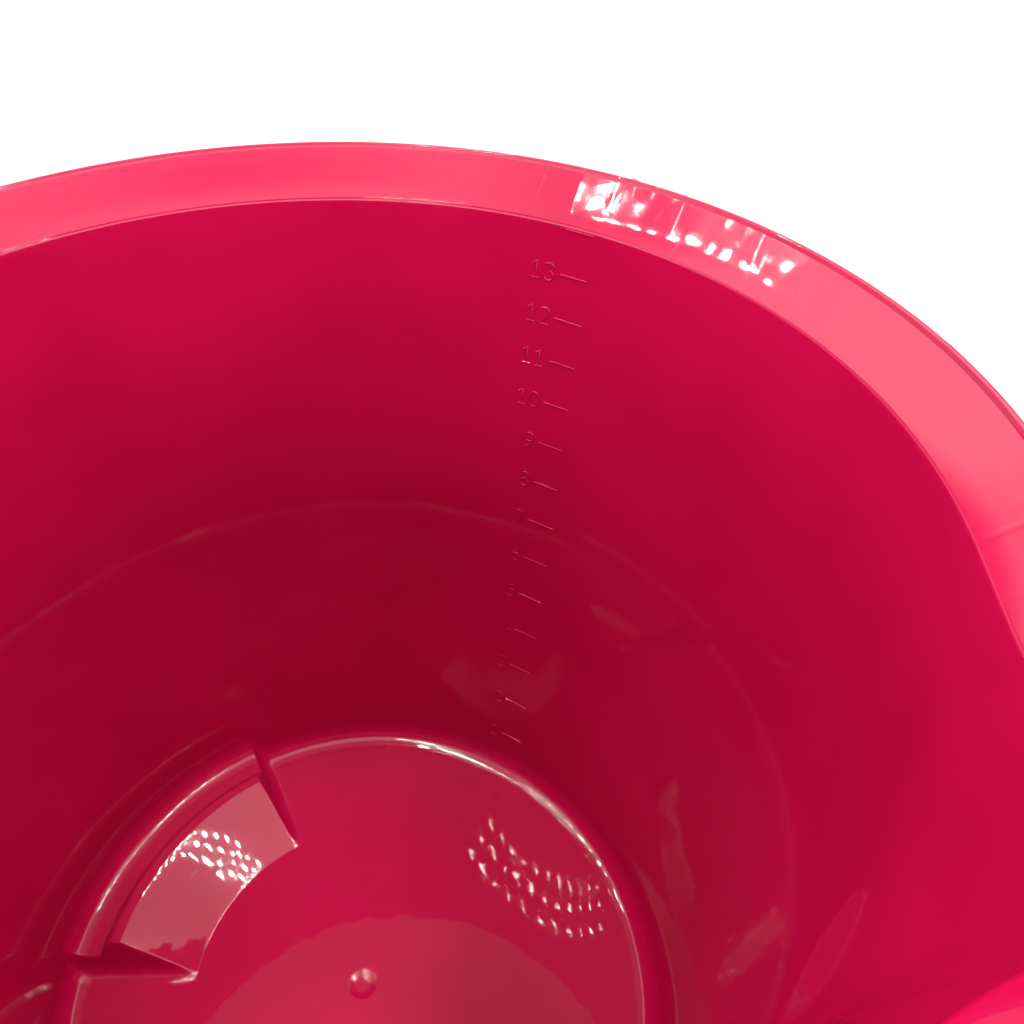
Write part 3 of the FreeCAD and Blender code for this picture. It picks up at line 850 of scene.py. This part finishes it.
def scale_strokes():
    """Every stroke of the litre scale as a list of points on the wall."""
    strokes = []
    left_end = -MARK_LENGTH / 2
    for litres in range(1, LITRES + 1):
        z = litre_height(litres)
        steps = range(MARK_SEGMENTS + 1)
        strokes.append([on_wall(left_end + MARK_LENGTH * i / MARK_SEGMENTS, z) for i in steps])
        if litres == LITRES:
            continue
        for place, digit in enumerate(reversed(str(litres))):
            right = left_end - DIGIT_GAP - place * DIGIT_PITCH
            left = right - DIGIT_WIDTH * DIGIT_HEIGHT
            for stroke in NUMERALS[digit]:
                strokes.append([
                    on_wall(left + x * DIGIT_HEIGHT, z + (y - 0.5) * DIGIT_HEIGHT)
                    for x, y in stroke
                ])
    return strokes


def scale_mesh():
    """The raised scale: rounded strokes half sunk in the wall."""
    curve = bpy.data.curves.new("litre_scale", "CURVE")
    curve.dimensions = "3D"
    curve.bevel_depth = STROKE_RADIUS
    curve.bevel_resolution = 2
    curve.use_fill_caps = True
    for stroke in scale_strokes():
        spline = curve.splines.new("POLY")
        spline.points.add(len(stroke) - 1)
        for point, place in zip(spline.points, stroke):
            point.co = (*place, 1.0)
    carrier = bpy.data.objects.new("litre_scale_curve", curve)
    bpy.context.scene.collection.objects.link(carrier)
    evaluated = carrier.evaluated_get(bpy.context.evaluated_depsgraph_get())
    mesh = bpy.data.meshes.new_from_object(evaluated)
    bpy.data.objects.remove(carrier)
    mesh.shade_smooth()
    return mesh


# ---------------------------------------------------------------- assembly
def build_shell():
    """The shell and everything moulded with it."""
    def moulded(name, mesh):
        return add_piece(name, mesh, CRIMSON, "bucket")

    shell = moulded("bucket_shell_skin", mesh_from_rows("bucket_shell_skin", shell_rows()))
    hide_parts("bucket_shell")
    moulded("litre_scale", scale_mesh())
    soften_edges(moulded("collar_ribs", rib_mesh()), RIB_BEVEL)
    for side, word in ((1, "left"), (-1, "right")):
        soften_edges(moulded("bail_ear_" + word, ear_mesh(side)), EAR_BEVEL)
        moulded("lip_nub_" + word, nub_mesh(side))


def finish_cad_node(node, material):
    """Gives a CAD node its finished material."""
    piece = frame["nodes"][node]
    piece.data.materials.clear()
    piece.data.materials.append(material)
    piece.data.shade_smooth()


# ---------------------------------------------------------------- floor, light and camera
def add_floor():
    """A wide plain pale floor at the height the bucket stands on."""
    half = STUDIO_FLOOR_HALF
    corners = [(-half, -half, 0), (half, -half, 0), (half, half, 0), (-half, half, 0)]
    mesh = bpy.data.meshes.new("floor")
    mesh.from_pydata(corners, [], [(0, 1, 2, 3)])
    floor = bpy.data.objects.new("studio_floor", mesh)
    bpy.context.scene.collection.objects.link(floor)
    material, nodes, _ = new_material("pale_floor")
    shader = nodes["Principled BSDF"]
    shader.inputs["Base Color"].default_value = (*[STUDIO_FLOOR_GREY] * 3, 1)
    shader.inputs["Roughness"].default_value = STUDIO_FLOOR_ROUGHNESS
    floor.data.materials.append(material)


def sky_profile(nodes, links, height, stops):
    """Sky strength against the height of the direction, eased from one stop to the next."""
    curve = add_node(nodes, "ShaderNodeValToRGB")
    curve.color_ramp.interpolation = "EASE"
    elements = curve.color_ramp.elements
    while len(elements) < len(stops):
        elements.new(0.5)
    for element, (position, strength) in zip(elements, stops):
        share = strength / SKY_PEAK
        element.position = position
        element.color = (share, share, share, 1)
    links.new(height, curve.inputs["Fac"])
    return combine(nodes, links, "MULTIPLY", curve.outputs["Color"], SKY_PEAK)


def add_sky():
    """Soft light in level bands: low and high on the camera's side, half-way up behind."""
    world = bpy.data.worlds.new("soft_studio")
    world.use_nodes = True
    nodes = world.node_tree.nodes
    links = world.node_tree.links
    coords = add_node(nodes, "ShaderNodeTexCoord").outputs["Generated"]
    split = add_node(nodes, "ShaderNodeSeparateXYZ")
    links.new(coords, split.inputs["Vector"])
    along_x = combine(nodes, links, "MULTIPLY", split.outputs["X"], math.cos(FRONT_AZIMUTH))
    along_y = combine(nodes, links, "MULTIPLY", split.outputs["Y"], math.sin(FRONT_AZIMUTH))
    facing = combine(nodes, links, "ADD", along_x, along_y)
    forward = ramp(nodes, links, facing, (-SKY_BLEND, 0.0), (SKY_BLEND, 1.0))
    backward = combine(nodes, links, "SUBTRACT", 1.0, forward)
    front = sky_profile(nodes, links, split.outputs["Z"], SKY_FRONT)
    back = sky_profile(nodes, links, split.outputs["Z"], SKY_BACK)
    front = combine(nodes, links, "MULTIPLY", front, forward)
    back = combine(nodes, links, "MULTIPLY", back, backward)
    background = nodes["Background"]
    links.new(combine(nodes, links, "ADD", front, back), background.inputs["Strength"])
    background.inputs["Color"].default_value = (1, 1, 1, 1)
    bpy.context.scene.world = world


def add_lamp_bar(name, centre, length_turn, columns, power):
    """A bar of small bright lamps in rows, facing the middle of the floor."""
    centre = Vector(centre)
    facing = centre.to_track_quat("Z", "Y")
    along = Vector((math.cos(length_turn), math.sin(length_turn), 0))
    across = along.cross(centre).normalized()
    for row in range(LAMP_ROWS):
        for column in range(columns):
            light = bpy.data.lights.new(name, "AREA")
            light.shape = "SQUARE"
            light.size = LAMP_SIZE
            light.energy = power / (LAMP_ROWS * columns)
            lamp = bpy.data.objects.new(name, light)
            step_along = (column - (columns - 1) / 2) * LAMP_PITCH
            step_across = (row - (LAMP_ROWS - 1) / 2) * LAMP_PITCH
            lamp.location = centre + along * step_along + across * step_across
            lamp.rotation_mode = "QUATERNION"
            lamp.rotation_quaternion = facing
            lamp.visible_camera = False
            bpy.context.scene.collection.objects.link(lamp)


def add_lights():
    add_sky()
    for name, centre, length_turn, columns, power in LAMP_BARS:
        add_lamp_bar(name, centre, math.radians(length_turn), columns, power)


def add_camera():
    """Camera at the height and angle of a person looking down over the rim."""
    camera = bpy.data.cameras.new("camera")
    camera.sensor_width = CAMERA_SENSOR
    camera.lens = CAMERA_LENS
    camera.shift_x, camera.shift_y = CAMERA_SHIFT
    camera.clip_start = CAMERA_CLIP
    holder = bpy.data.objects.new("camera", camera)
    bpy.context.scene.collection.objects.link(holder)
    aim = Matrix.Rotation(CAMERA_HEADING, 4, "Z") @ Matrix.Rotation(CAMERA_TILT, 4, "X")
    roll = Matrix.Rotation(CAMERA_ROLL, 4, "Z")
    holder.matrix_world = Matrix.Translation(CAMERA_PLACE) @ aim @ roll
    bpy.context.scene.camera = holder


build_shell()
finish_cad_node("bail_wire", STEEL)
finish_cad_node("handle_grip", BLACK)
add_floor()
add_lights()
add_camera()
bpy.context.scene.view_settings.view_transform = "Standard"
